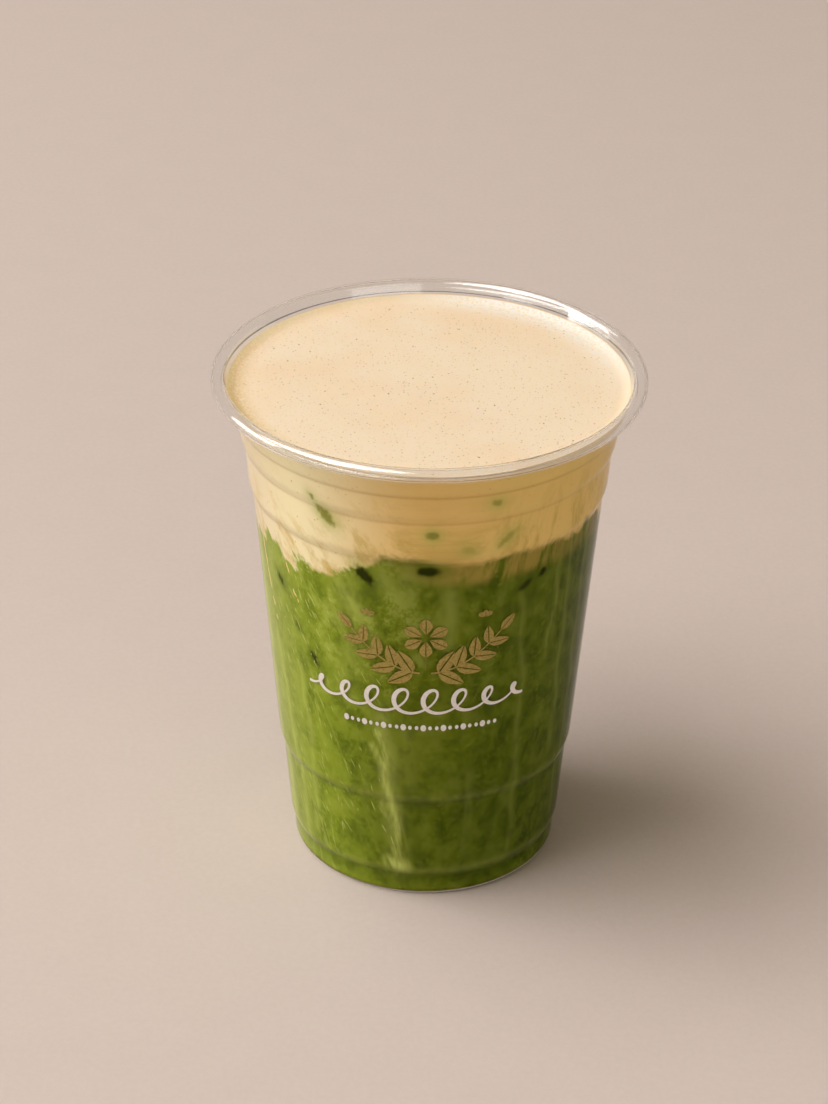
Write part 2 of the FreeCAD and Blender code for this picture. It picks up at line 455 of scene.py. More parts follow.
def colour_at_wall(tree, drink):
    """The drink as it shows through the wall: milky matcha, stained cream over it, frayed where they meet,
    with light and shade painted on both.

    Tea dust is finer than a tenth of a millimetre and bubbles are not much larger, so both are drawn as
    coarse as they need to be to show. A pattern on swirl leans as the streaks in the drink do.
    """
    place = add(tree, "ShaderNodeTexCoord").outputs["Object"]
    swirl = add(tree, READ, attribute_name="swirl").outputs["Vector"]
    read = {name: add(tree, READ, attribute_name=name).outputs["Fac"] for name in (
        "lit_side", "left_side", "far_side", "mottled", "milk", "cloudy", "scratched", "stain", "smeared",
        "rise", "fray", "ice", "ice_depth", "chill", "crease", "glint",
    )}

    # Each pattern's coordinates, width in mm, detail, roughness and stretch.
    pattern = {}
    for name, vector, width, detail, rough, stretch in (
        ("mottle", place, 5.0, 9.0, 0.72, (1, 1, 0.8)),
        ("cloud", swirl, 13.0, 3.0, 0.55, (1, 1, 0.4)),
        ("streaks", swirl, 2.6, 4.0, 0.65, (1, 1, 0.14)),
        ("scratches", swirl, 6.0, 2.0, 0.5, (1, 1, 0.13)),
        ("smears", swirl, 4.5, 5.0, 0.7, (1, 1, 0.4)),
        ("patches", swirl, 7.0, 7.0, 0.68, (1, 1, 0.7)),
        ("fingers", swirl, 2.4, 5.0, 0.7, (1, 1, 0.22)),
        ("ragged", place, 1.6, 4.0, 0.75, (1, 1, 1)),
        ("fine", place, 0.8, 2.0, 0.7, (1, 1, 1)),
    ):
        placed = add(tree, "ShaderNodeMapping", {"Vector": vector, "Scale": stretch})
        pattern[name] = add(tree, NOISE, {
            "Vector": placed, "Scale": per_mm(width), "Detail": detail, "Roughness": rough,
        })
    cells = add(tree, "ShaderNodeTexVoronoi", {"Vector": place, "Scale": per_mm(1.7)}).outputs["Distance"]
    scratches, patches, fingers, ragged = (
        add(tree, MATH, (pattern[name], 0.5), **LESS)
        for name in ("scratches", "patches", "fingers", "ragged"))
    off_scratch = add(tree, MATH, [scratches], operation="ABSOLUTE")
    ragged = add(tree, MATH, (ragged, 1.1), **TIMES)
    wander = add(tree, MATH, (fingers, 0.22, patches), **TIMES_PLUS)
    frayed = add(tree, MATH, (wander, read["fray"], read["rise"]), **TIMES_PLUS)
    ragged_ice = add(tree, MATH, (read["ice"], ragged), operation="ADD")

    # Where each pattern starts to show and where it shows in full.
    step = {name: add(tree, RAMP, (value, low, high), **SMOOTH) for name, value, low, high in (
        ("tea_rich", pattern["mottle"], 0.46, 0.62), ("deep", pattern["cloud"], 0.5, 0.68),
        ("run", pattern["streaks"], 0.22, 0.56), ("blot", pattern["mottle"], 0.49, 0.38),
        ("wash", pattern["streaks"], 0.45, 0.7), ("off_scratch", off_scratch, 0.0, 0.02),
        ("scratch", pattern["cloud"], 0.44, 0.6), ("speck", pattern["fine"], 0.52, 0.72),
        ("stain", pattern["streaks"], 0.34, 0.56), ("smear", pattern["smears"], 0.44, 0.66),
        ("off_dot", cells, 0.07, 0.16), ("dotted", pattern["mottle"], 0.46, 0.56),
        ("above", frayed, -1.3, 1.3), ("core", ragged_ice, 0.2, 0.95),
    )}
    scratch_line, dot = (add(tree, MATH, (1.0, step[name]), **LESS) for name in ("off_scratch", "off_dot"))

    # How strong each mark is: the product of what is named.
    mark = {}
    for name, *factors in (
        ("tea_rich", step["tea_rich"], read["mottled"]), ("run", step["run"], read["milk"]),
        ("blot", step["blot"], read["cloudy"], 0.30), ("speck", step["speck"], 0.14),
        ("scratch", scratch_line, read["scratched"], step["scratch"], 0.3),
        ("stain", step["stain"], read["stain"]), ("smear", step["smear"], 0.8, read["smeared"]),
        ("dots", dot, step["dotted"], 0.9), ("core", step["core"], read["ice_depth"]),
        ("halo", ragged, read["chill"]), ("crease", read["crease"], 0.55),
    ):
        mark[name] = factors[0]
        for factor in factors[1:]:
            mark[name] = add(tree, MATH, (mark[name], factor), **TIMES)
    dark = add(tree, MATH, (step["deep"], 0.2, mark["tea_rich"]), **TIMES_PLUS, use_clamp=True)
    milk = add(tree, MATH, (step["wash"], 0.04, mark["blot"]), **TIMES_PLUS)
    for name in ("run", "scratch", "speck"):
        milk = add(tree, MATH, (milk, mark[name]), **LARGER)
    halo = add(tree, MATH, (read["chill"], mark["halo"]), operation="ADD")

    # Both bodies are painted light and shade: paler towards the lamps and darker on the side away from them.
    bodies = []
    for colour, *sides in (
        (drink.matcha, drink.matcha_far, drink.matcha_left, drink.matcha_lit),
        (drink.cream_front, drink.cream_far, drink.cream_left, drink.cream_lit),
    ):
        for name, side in zip(("far_side", "left_side", "lit_side"), sides):
            colour = add(tree, MIX, {0: read[name], 6: colour, 7: side}, **COLOURS)
        bodies.append(colour)
    matcha, cream = bodies
    for share, tint, way in (
        (dark, drink.shade, "MULTIPLY"), (milk, drink.milk, "SCREEN"), (mark["stain"], drink.stain, "MIX"),
    ):
        matcha = add(tree, MIX, {0: share, 6: matcha, 7: tint}, **COLOURS, blend_type=way)
    for name in ("smear", "dots"):
        cream = add(tree, MIX, {0: mark[name], 6: cream, 7: drink.cream_stained}, **COLOURS)

    shown = add(tree, MIX, {0: step["above"], 6: matcha, 7: cream}, **COLOURS)
    # Over both: painted shade round ice and the darker painted shade seen through it, painted shade in
    # creases, at the foot and away from the lamps, and painted glints on the ledges in the milk's colour.
    for share, in_matcha, in_cream, way in (
        (halo, drink.ice_shade, drink.ice_shade_in_cream, "MIX"),
        (mark["core"], drink.ice, drink.ice_shadow_in_cream, "MIX"),
        (mark["crease"], drink.shade, drink.cream_shade, "MULTIPLY"),
        (read["glint"], drink.milk, drink.milk, "SCREEN"),
    ):
        tint = add(tree, MIX, {0: step["above"], 6: in_matcha, 7: in_cream}, **COLOURS)
        shown = add(tree, MIX, {0: share, 6: shown, 7: tint}, **COLOURS, blend_type=way)
    return shown, place


def matcha_milk(drink):
    """Iced milk with fine green tea: opaque, wet against the wall, so it has no gloss of its own."""
    material, tree = new_material("matcha_milk")
    colour, _ = colour_at_wall(tree, drink)
    body = add(tree, BODY, {"Base Color": colour, "Roughness": 0.8, "Specular IOR Level": 0.0})
    add(tree, "ShaderNodeOutputMaterial", {"Surface": body})
    return material


def cream_foam(drink):
    """Whipped cream poured on the drink: pale, satin and a little see-through, with very fine bubbles.

    The bubbles are about a fifth of a millimetre wide, and are drawn at half a millimetre so that they show.
    """
    material, tree = new_material("cream_foam")
    side, place = colour_at_wall(tree, drink)
    on_side, edge_shade, sheen = (
        add(tree, READ, attribute_name=name).outputs["Fac"] for name in ("side", "edge", "sheen"))
    clouds, fine = (
        add(tree, NOISE, {"Vector": place, "Scale": per_mm(width), "Detail": detail, "Roughness": rough})
        for width, detail, rough in ((26.0, 3.0, 0.5), (0.55, 2.0, 0.7)))
    top = drink.cream
    # The warm patches and flecks are the cream's own colour; the edge band is painted shade and the sheen a
    # painted highlight.
    for pattern, low, high, strength, colour in (
        (clouds, 0.4, 0.72, 1.0, drink.cream_warm), (fine, 0.52, 0.74, 0.35, drink.cream_fleck),
        (fine, 0.2, 0.6, edge_shade, drink.cream_edge_shade), (fine, 0.36, 0.52, sheen, drink.cream_sheen),
    ):
        share = add(tree, MATH, (add(tree, RAMP, (pattern, low, high), **SMOOTH), strength), **TIMES)
        top = add(tree, MIX, {0: share, 6: top, 7: colour}, **COLOURS)
    colour = add(tree, MIX, {0: on_side, 6: top, 7: side}, **COLOURS)
    relief = add(tree, "ShaderNodeBump", {"Strength": 0.2, "Distance": 0.08 * MM, "Height": fine})
    soft = add(tree, MATH, (add(tree, MATH, (1.0, on_side), **LESS), 0.4), **TIMES)
    body = add(tree, BODY, {
        "Base Color": colour, "Roughness": 0.45, "Specular IOR Level": 0.25, "Normal": relief,
        "Subsurface Weight": soft, "Subsurface Radius": (1.0, 0.75, 0.4), "Subsurface Scale": 2.5 * MM,
    })
    at_wall = add(tree, BODY, {"Base Color": colour, "Roughness": 0.8, "Specular IOR Level": 0.0})
    whole = add(tree, "ShaderNodeMixShader", (on_side, body, at_wall))
    add(tree, "ShaderNodeOutputMaterial", {"Surface": whole})
    return material


def plain_finish(name, code, roughness, specular=0.5, fleck=None, fleck_size=0.6, fleck_share=0.5):
    """A finish of one colour, broken by flecks of another that many millimetres wide."""
    material, tree = new_material(name)
    place = add(tree, "ShaderNodeTexCoord").outputs["Object"]
    flecks = add(tree, NOISE, {
        "Vector": place, "Scale": per_mm(fleck_size), "Detail": 2.0, "Roughness": 0.6,
    })
    share = add(tree, MATH, (add(tree, RAMP, (flecks, 0.45, 0.65), **SMOOTH), fleck_share), **TIMES)
    colour = add(tree, MIX, {0: share, 6: linear(code), 7: linear(fleck or code)}, **COLOURS)
    body = add(tree, BODY, {"Base Color": colour, "Roughness": roughness, "Specular IOR Level": specular})
    add(tree, "ShaderNodeOutputMaterial", {"Surface": body})
    return material


def seamless_paper(stage):
    """A sheet of pale matt paper: even, with a faint cloudiness and a tooth that only shows close up.

    Real tooth is a fifth of a millimetre wide, and is drawn wider so that it shows at all.
    """
    material, tree = new_material("seamless_paper")
    place = add(tree, "ShaderNodeTexCoord").outputs["Object"]
    cloud, tooth = (
        add(tree, NOISE, {"Vector": place, "Scale": per_mm(width), "Detail": detail, "Roughness": rough})
        for width, detail, rough in ((14.0, 4.0, 0.6), (1.6, 2.0, 0.7)))
    clouded = add(tree, MATH, (cloud, 0.6), **TIMES)
    share = add(tree, MATH, (add(tree, RAMP, (tooth, 0.3, 0.7), **SMOOTH), 0.4, clouded), **TIMES_PLUS)
    darker = [c * 0.93 for c in stage.floor_colour[:3]] + [1.0]
    colour = add(tree, MIX, {0: share, 6: list(stage.floor_colour), 7: darker}, **COLOURS)
    body = add(tree, BODY, {"Base Color": colour, "Roughness": 0.95, "Specular IOR Level": 0.0})
    add(tree, "ShaderNodeOutputMaterial", {"Surface": body})
    return material


# ---- pieces


def turning_tree():
    """Turns a profile round the axis. The profile has radius as X and height as -Y."""
    tree, given = new_tree("Turn about the axis",
                           [("Steps per turn", "Int"), ("Hub radius", "Float"), ("Material", "Material")])
    profile = add(tree, "GeometryNodeMeshToCurve", {"Mesh": given.outputs["Geometry"]})
    ring = add(tree, "GeometryNodeCurvePrimitiveCircle",
               {"Resolution": given.outputs["Steps per turn"], "Radius": given.outputs["Hub radius"]})
    shell = add(tree, "GeometryNodeCurveToMesh", {"Curve": ring, "Profile Curve": profile})
    end_tree(tree, given, shell)
    return tree


def make_cup(cup):
    """The cup: its outline, turned round the axis into a closed sheet."""
    outside = skin(cup, 0.0)
    inside = skin(cup, cup.sheet)
    curl_angles = [180 - LIP_LEAN - CURL_TURN * (i + 1) / CURL_STEPS for i in range(CURL_STEPS)]
    outside += [on_bead(cup, cup.bead / 2 - cup.sheet, a) for a in curl_angles]
    inside += [on_bead(cup, cup.bead / 2, a) for a in curl_angles]
    outline = outside + inside[::-1]
    points = [(r, -z, 0.0) for r, z in outline]
    piece = new_mesh_object("cup_wall", points, [(i, i + 1) for i in range(len(points) - 1)], [])
    grow(piece, turning_tree(), {
        "Steps per turn": cup.steps, "Hub radius": 1e-7, "Material": clear_pet(cup),
    })
    tidy_shell(piece, merge=1e-5)
    belongs(piece, ["cup"])
    return piece


def shell_from_rows(name, rows, fields):
    """A closed shell from rows of points that go round the axis, the first and last rows meeting on it."""
    turns = len(rows[0])
    points = [p for row in rows for p in row]
    faces = []
    for j in range(len(rows) - 1):
        for i in range(turns):
            k = (i + 1) % turns
            faces.append((j * turns + i, j * turns + k, (j + 1) * turns + k, (j + 1) * turns + i))
    piece = new_mesh_object(name, points, [], faces)
    for field, values in fields.items():
        kind = "FLOAT_VECTOR" if np.ndim(values) == 2 else "FLOAT"
        layer = piece.data.attributes.new(field, kind, "POINT")
        key = "vector" if kind == "FLOAT_VECTOR" else "value"
        layer.data.foreach_set(key, np.asarray(values, np.float32).ravel())
    tidy_shell(piece, merge=1e-6)
    return piece


def milk_runs(angles, height, radius):
    """How strongly milk shows at each point, near the wandering paths that it runs down."""
    milk = np.zeros_like(height)
    for number, (width, strength, path) in enumerate(MILK_RUNS):
        steps = np.arange(0, 125.0)
        sway = np.array([noise.noise(Vector((number * 7.3, h * 0.11, 0.0))) for h in steps])
        side = np.radians(turned_by(angles, path[0][0])) * radius + 1.3 * np.interp(height, steps, sway)
        nearest = np.full_like(height, 1e3)
        corners = [np.array([math.radians(a - path[0][0]) * RUN_RADIUS, up]) for a, up in path]
        for start, end in zip(corners, corners[1:]):
            run = end - start
            share = np.clip(((side - start[0]) * run[0] + (height - start[1]) * run[1]) / (run @ run), 0, 1)
            over = (height - start[1] - share * run[1]) * 0.6
            nearest = np.minimum(nearest, np.hypot(side - start[0] - share * run[0], over))
        milk = np.maximum(milk, strength * np.exp(-((nearest / width) ** 2)))
    return milk


def ice_at_wall(angles, height, radius):
    """How near each point is to the middle of ice, how dark the painted shade seen through that ice is, and
    the painted shade of the thin drink round it.
    """
    ice, depth, chill = (np.zeros_like(height) for _ in range(3))
    for angle, middle, length, width, lean_right, strength in ICE_TOUCHES:
        side = np.radians(turned_by(angles, angle)) * radius
        up = height - middle
        tilt = math.radians(lean_right)
        along = (up * math.cos(tilt) + side * math.sin(tilt)) / (length / 2)
        across = (side * math.cos(tilt) - up * math.sin(tilt)) / (width / 2)
        away = np.hypot(along, across)
        near = np.hypot(along * length / (length + 2.5), across * width / (width + 2.5))
        ice = np.maximum(ice, np.clip(1.6 - away, 0, 1))
        depth = np.maximum(depth, strength * (away < 2.2))
        chill = np.maximum(chill, min(1.0, 0.35 + 0.5 * strength) * np.exp(-(near**2) * 1.1))
    return ice, depth, chill


def ledge_shading(cup, height, below, from_lit):
    """The painted shade in the ledges' creases, at the foot and away from the light, and the painted glint on
    each ledge.
    """
    crease, glint = np.zeros_like(height), np.zeros_like(height)
    ledges = [corner for corner in outside_corners(cup)[4:] if corner[2] == LEDGE_HOLLOW]
    for (_, foot, _), (strength, width) in zip(ledges, LEDGE_SHADING):
        over = height - foot / MM
        crease = np.maximum(crease, strength * np.exp(-(((over - 0.1) / width) ** 2)))
        glint = np.maximum(glint, strength * 0.12 * np.exp(-(((over - 1.9) / 1.1) ** 2)))
    # Painted shade at the foot, low on the front and far side, and on the far side under the cream's line.
    for shade in (
        (1 - eased(height, 4.5, 6.5)) * (0.6 + 1.2 * eased(from_lit, 35, 85)),
        0.55 * (1 - eased(height, 26, 58)) * eased(from_lit, 34, 66),
        (1 - eased(height, 8, 30)) * eased(from_lit, 105, 145),
        0.8 * eased(below, 0, 6) * eased(from_lit, 122, 146),
    ):
        crease = np.maximum(crease, shade)
    return crease, glint


def drink_fields(cup, drink, points, on_side):
    """What the drink's finish reads at each point: how far it is over the cream's line, its marks, and where
    light and shade are painted on it.
    """
    x, y, z = points.T
    angles = np.degrees(np.arctan2(x, -y))
    height, radius = z / MM, np.hypot(x, y)
    rise = height - round_the_wall(CREAM_LINE, angles)
    twist = np.radians(angles + round_the_wall(STREAK_LEAN, angles) * (height - STREAK_FOOT))
    from_lit = np.abs(turned_by(angles, LIT_FROM))
    ice, ice_depth, chill = ice_at_wall(angles, height, radius / MM)
    crease, glint = ledge_shading(cup, height, -rise, from_lit)
    drawn_down = 0.9 * hump(angles, 24, 30, 4) + 0.5 * hump(angles, 68, 14, 4)
    return {
        "rise": rise,
        "fray": round_the_wall(FRAY, angles) * FRAY_REACH,
        "swirl": np.stack([radius * np.sin(twist), -radius * np.cos(twist), z], 1),
        "milk": milk_runs(angles, height, radius / MM),
        "ice": ice * on_side,
        "ice_depth": ice_depth * on_side,
        "chill": chill * on_side,
        "stain": eased(-rise, -1, 0.5) * (1 - eased(-rise, 4.0, 7.5)) * drawn_down,
        "crease": crease * on_side,
        "glint": glint * on_side,
        "cloudy": 0.22 + 0.78 * hump(angles, -24, 24) * eased(height, 46, 66),
        "scratched": 0.75 * (1 - eased(np.abs(turned_by(angles, -52)), 14, 48)),
        "smeared": np.clip(1.25 - rise / 16, 0.15, 1),
        "mottled": drink.mottling * (0.4 + 0.6 * eased(from_lit, 10, 55)),
        # How near each point is to the lamps' side, for the painted light and shade on the drink.
        "lit_side": 1 - eased(from_lit, 4, 40),
        "left_side": 1 - eased(from_lit, 36, 80),
        "far_side": eased(from_lit, 80, 106),
        "side": on_side,
    }


def make_drink(cup, drink):
    """The matcha and the cream on it, both reaching into the wall's thickness so that no gap shows."""
    turns = cup.steps
    angles = np.arange(turns) * 360.0 / turns - 180.0
    sines, cosines = np.sin(np.radians(angles)), -np.cos(np.radians(angles))
    inset = cup.sheet - drink.bite
    heights, radii = wall_line(cup, inset)
    line = round_the_wall(CREAM_LINE, angles) * MM
    middle = float(line.mean())

    def ring(radius, height):
        radius = np.broadcast_to(radius, (turns,))
        height = np.broadcast_to(height, (turns,))
        return np.stack([radius * sines, radius * cosines, height], 1)

    def meeting(share):
        """A ring of the surface between matcha and cream, from the axis at 0 to the wall at 1."""
        edge = np.interp(line, heights, radii)
        return ring(edge * share, middle + (line - middle) * share**2)

    def side_rows(low, high, count):
        rows = []
        for i in range(count + 1):
            height = low + (high - low) * i / count
            rows.append(ring(np.interp(height, heights, radii), height))
        return rows

    floor_line = [p for p in skin(cup, inset) if p[1] < heights[0]]
    floor_rows = [ring(r, z) for r, z in floor_line]
    wall_rows = side_rows(heights[0], line, MATCHA_ROWS)
    top_rows = [meeting(1 - (i + 1) / MEETING_RINGS) for i in range(MEETING_RINGS)]
    rows = floor_rows + wall_rows + top_rows
    points = np.concatenate(rows)
    on_side = np.repeat([0.0] * len(floor_rows) + [1.0] * len(wall_rows) + [0.0] * len(top_rows), turns)
    matcha = shell_from_rows("matcha_drink", rows, drink_fields(cup, drink, points, on_side))
    matcha.data.materials.append(matcha_milk(drink))
    belongs(matcha, ["matcha"])

    level = CREAM_HIGH.z - CLIMB
    contact = float(np.interp(level + CLIMB, heights, radii))
    flat_radius = contact - CLIMB_WIDTH
    arc = (CLIMB_WIDTH**2 + CLIMB**2) / (2 * CLIMB)
    full_turn = 2 * math.atan2(CLIMB, CLIMB_WIDTH)
    under_rows = [meeting(i / MEETING_RINGS) for i in range(MEETING_RINGS)]
    wall_rows = side_rows(line, level + CLIMB, CREAM_ROWS)
    climb_rows = []
    for i in range(1, CLIMB_STEPS + 1):
        turn = full_turn * (1 - i / CLIMB_STEPS)
        climb_rows.append(ring(flat_radius + arc * math.sin(turn), level + arc * (1 - math.cos(turn))))
    flat_rows = [ring(flat_radius * (1 - (i + 1) / SURFACE_RINGS), level) for i in range(SURFACE_RINGS)]
    rows = under_rows + wall_rows + climb_rows + flat_rows
    points = np.concatenate(rows)
    on_side = np.repeat([0.0] * len(under_rows) + [1.0] * len(wall_rows)
                        + [0.0] * (len(climb_rows) + len(flat_rows)), turns)
    fields = drink_fields(cup, drink, points, on_side)
    from_edge = (contact - np.hypot(points[:, 0], points[:, 1])) / MM
    turned = np.degrees(np.arctan2(points[:, 0], -points[:, 1]))
    # The band where the surface climbs the wall is painted shade: faint all round and strongest on the lit
    # side, where that slope faces away from the lamps.
    shaded = 0.1 + 0.75 * hump(turned, -72, 45)
    fields["edge"] = (1 - on_side) * (1 - eased(from_edge, 1.0, 6.0)) * shaded
    # The sheen is a painted highlight of the lamps on the climbing edge at the back on the right, broken into
    # dots.
    fields["sheen"] = (1 - on_side) * (1 - eased(from_edge, 2.0, 8.0)) * hump(turned, 140, 42, 4)
    cream = shell_from_rows("cream_top", rows, fields)
    cream.data.materials.append(cream_foam(drink))
    belongs(cream, ["cream"])


def scatter_tree():
    """Scatters copies of a speck over a surface."""
    tree, given = new_tree("Scatter specks", [
        ("Speck", "Object"), ("Specks per square metre", "Float"), ("Smallest", "Float"),
        ("Largest", "Float"), ("Seed", "Int"), ("Material", "Material"),
    ])
    spots = add(tree, "GeometryNodeDistributePointsOnFaces", {
        "Mesh": given.outputs["Geometry"], "Density": given.outputs["Specks per square metre"],
        "Seed": given.outputs["Seed"],
    })
    speck = add(tree, "GeometryNodeObjectInfo", {"Object": given.outputs["Speck"]})
    size = add(tree, "FunctionNodeRandomValue", {2: 0.0, 3: 1.0, "Seed": given.outputs["Seed"]},
               data_type="FLOAT")
    small_first = add(tree, MATH, (size, 3.0), operation="POWER")
    scale = add(tree, RAMP, {
        0: small_first, 3: given.outputs["Smallest"], 4: given.outputs["Largest"],
    })
    copies = add(tree, "GeometryNodeInstanceOnPoints", {
        "Points": spots.outputs["Points"], "Instance": speck.outputs["Geometry"],
        "Rotation": spots.outputs["Rotation"], "Scale": scale,
    })
    end_tree(tree, given, copies)
    return tree


def disc(name, radius, height, rings=24, turns=96):
    """A flat disc to scatter on."""
    points = [(0.0, 0.0, height)]
    faces = [(0, 1 + i, 1 + (i + 1) % turns) for i in range(turns)]
    for j in range(1, rings + 1):
        for i in range(turns):
            turn = 2 * math.pi * i / turns
            points.append((radius * j / rings * math.cos(turn), radius * j / rings * math.sin(turn), height))
    for j in range(rings - 1):
        for i in range(turns):
            k = (i + 1) % turns
            low, high = 1 + j * turns, 1 + (j + 1) * turns
            faces.append((low + i, high + i, high + k, low + k))
    return new_mesh_object(name, points, [], faces)


def make_specks(specks):
    """Tea that floats on the cream: dust that hardly shows, and a few larger dark grains.

    Both are matt leaf, sifted fine, so they give the eye small olive dots with no gloss.
    """
    bpy.ops.mesh.primitive_ico_sphere_add(subdivisions=1, radius=1.0)
    grain_shape = bpy.context.object
    grain_shape.data.transform(Matrix.Diagonal((1.0, 1.0, 0.35, 1.0)))
    level = CREAM_HIGH.z - CLIMB
    radius = CREAM_HIGH.x - CLIMB_WIDTH - 0.5 * MM
    kinds = [
        ("tea_dust", "#D6BC88", specks.dust_per_m2, 0.09, 0.22, 3),
        ("tea_grains", "#A2955A", specks.grains_per_m2, 0.11, 0.25, 11),
    ]
    tree = scatter_tree()
    for name, code, density, smallest, largest, seed in kinds:
        piece = disc(name, radius, level)
        grow(piece, tree, {
            "Speck": grain_shape, "Specks per square metre": density, "Smallest": smallest * MM,
            "Largest": largest * MM, "Seed": seed, "Material": plain_finish(name, code, 0.6, 0.2),
        })
        tidy_shell(piece)
        belongs(piece)
    bpy.data.objects.remove(grain_shape)


# ---- work laid on the wall


def laid_on(tree, given, flat):
    """Lays flat work on a round wall. It is drawn as (distance round the wall, -height over it, z)."""
    parts = add(tree, "ShaderNodeSeparateXYZ", [add(tree, "GeometryNodeInputPosition")])
    turn = add(tree, MATH, (parts.outputs["X"], given.outputs["Wall radius"]), operation="DIVIDE")
    sine, cosine = (add(tree, MATH, [turn], operation=name) for name in ("SINE", "COSINE"))
    outward = add(tree, "ShaderNodeCombineXYZ", (sine, add(tree, MATH, (cosine, -1.0), **TIMES)))
    far = add(tree, VECTORS, {0: outward, "Scale": LAYING_REACH}, operation="SCALE")
    upright = add(tree, "ShaderNodeCombineXYZ", {"Z": parts.outputs["Z"]})
    inward = add(tree, VECTORS, {0: outward, "Scale": -1.0}, operation="SCALE")
    wall = add(tree, "GeometryNodeObjectInfo", {"Object": given.outputs["Wall"]})
    met = add(tree, "GeometryNodeRaycast", {
        "Target Geometry": wall.outputs["Geometry"], "Ray Direction": inward, "Ray Length": LAYING_REACH,
        "Source Position": add(tree, VECTORS, (far, upright), operation="ADD"),
    })
    raised = add(tree, VECTORS, {0: inward, "Scale": parts.outputs["Y"]}, operation="SCALE")
    laid = add(tree, VECTORS, (met.outputs["Hit Position"], raised), operation="ADD")
    return add(tree, "GeometryNodeSetPosition", {"Geometry": flat, "Position": laid})


WALL_INPUTS = [("Wall", "Object"), ("Wall radius", "Float"), ("Material", "Material")]


def ribbon_tree():
    """Ribbons along drawn lines, as wide as each point's size says, laid on a wall."""
    tree, given = new_tree("Ribbons on a wall", [("Flatness", "Float")] + WALL_INPUTS)
    lines = add(tree, "GeometryNodeMeshToCurve", {"Mesh": given.outputs["Geometry"]})
    size = add(tree, "GeometryNodeInputNamedAttribute", {"Name": "size"}, data_type="FLOAT")
    section = add(tree, "GeometryNodeCurvePrimitiveQuadrilateral",
                  {"Width": given.outputs["Flatness"], "Height": 1.0})
    swept = add(tree, "GeometryNodeCurveToMesh", {
        "Curve": lines, "Profile Curve": section, "Scale": size,
        "Fill Caps": True,
    })
    end_tree(tree, given, laid_on(tree, given, swept))
    return tree


def shape_tree():
    """One shape set out on drawn points, turned and scaled as each point says, laid on a wall."""
    tree, given = new_tree("Shapes on a wall", [("Shape", "Object")] + WALL_INPUTS)
    points = add(tree, "GeometryNodeMeshToPoints", {"Mesh": given.outputs["Geometry"]})
    size = add(tree, "GeometryNodeInputNamedAttribute", {"Name": "size"}, data_type="FLOAT")
    turn = add(tree, "GeometryNodeInputNamedAttribute", {"Name": "turn"}, data_type="FLOAT")
    euler = add(tree, "ShaderNodeCombineXYZ", {"Y": turn})
    spin = add(tree, "FunctionNodeEulerToRotation", {0: euler})
    shape = add(tree, "GeometryNodeObjectInfo", {"Object": given.outputs["Shape"]})
    copies = add(tree, "GeometryNodeInstanceOnPoints", {
        "Points": points, "Instance": shape.outputs["Geometry"], "Rotation": spin,
        "Scale": size,
    })
    real = add(tree, "GeometryNodeRealizeInstances", {0: copies})
    end_tree(tree, given, laid_on(tree, given, real))
    return tree


def drawn(name, lines, joined=True):
    """Points from lists of (x, z, y, size, turn), joined in a line or left apart."""
    points = [p for one in lines for p in one]
    edges, start = [], 0
    for one in lines:
        if joined:
            edges += [(start + i, start + i + 1) for i in range(len(one) - 1)]
        start += len(one)
    piece = new_mesh_object(name, [(x, y, z) for x, z, y, _, _ in points], edges, [])
    for number, field in ((3, "size"), (4, "turn")):
        layer = piece.data.attributes.new(field, "FLOAT", "POINT")
        layer.data.foreach_set("value", [p[number] for p in points])
    return piece


def flat_shape(name, strips, near, far):
    """A flat closed shape from strips of rows of two (x, z) points, between two heights over the wall."""
    points, faces = [], []
    for rows in strips:
        start = len(points)
        for pair in rows:
            points += [(x, -over, z) for x, z in pair for over in (near, far)]
        for j in range(len(rows) - 1):
            o = start + 4 * j
            faces += [(o, o + 1, o + 5, o + 4), (o + 2, o + 6, o + 7, o + 3),
                      (o, o + 4, o + 6, o + 2), (o + 1, o + 3, o + 7, o + 5)]
        end = start + 4 * (len(rows) - 1)
        faces += [(start, start + 2, start + 3, start + 1), (end, end + 1, end + 3, end + 2)]
    return new_mesh_object(name, points, [], faces)


def leaf_strips(length, width, vein, fullness, steps=12):
    """The two halves of a leaf along X, with a gap between them where its vein is."""
    halves = []
    for side in (1, -1):
        rows = []
        for i in range(steps + 1):
            t = i / steps
            edge = vein + width * math.sin(math.pi * t**fullness) ** 0.85
            rows.append(((length * t, side * vein), (length * t, side * edge)))
        halves.append(rows)
    return halves


def dot_strips(width, height, corners=16):
    """A round or oval dot as one strip."""
    rows = []
    for i in range(corners // 2 + 1):
        turn = math.pi * i / (corners // 2)
        across = max(0.02, math.sin(turn)) * height / 2
        rows.append(((-width / 2 * math.cos(turn), across), (-width / 2 * math.cos(turn), -across)))
    return [rows]


def lay(piece, tree, wall, material, **values):
    """Runs a laying tree on a piece and finishes it."""
    grow(piece, tree, {"Wall": wall, "Wall radius": WALL_RADIUS, "Material": material, **values})
    tidy_shell(piece)
    belongs(piece)


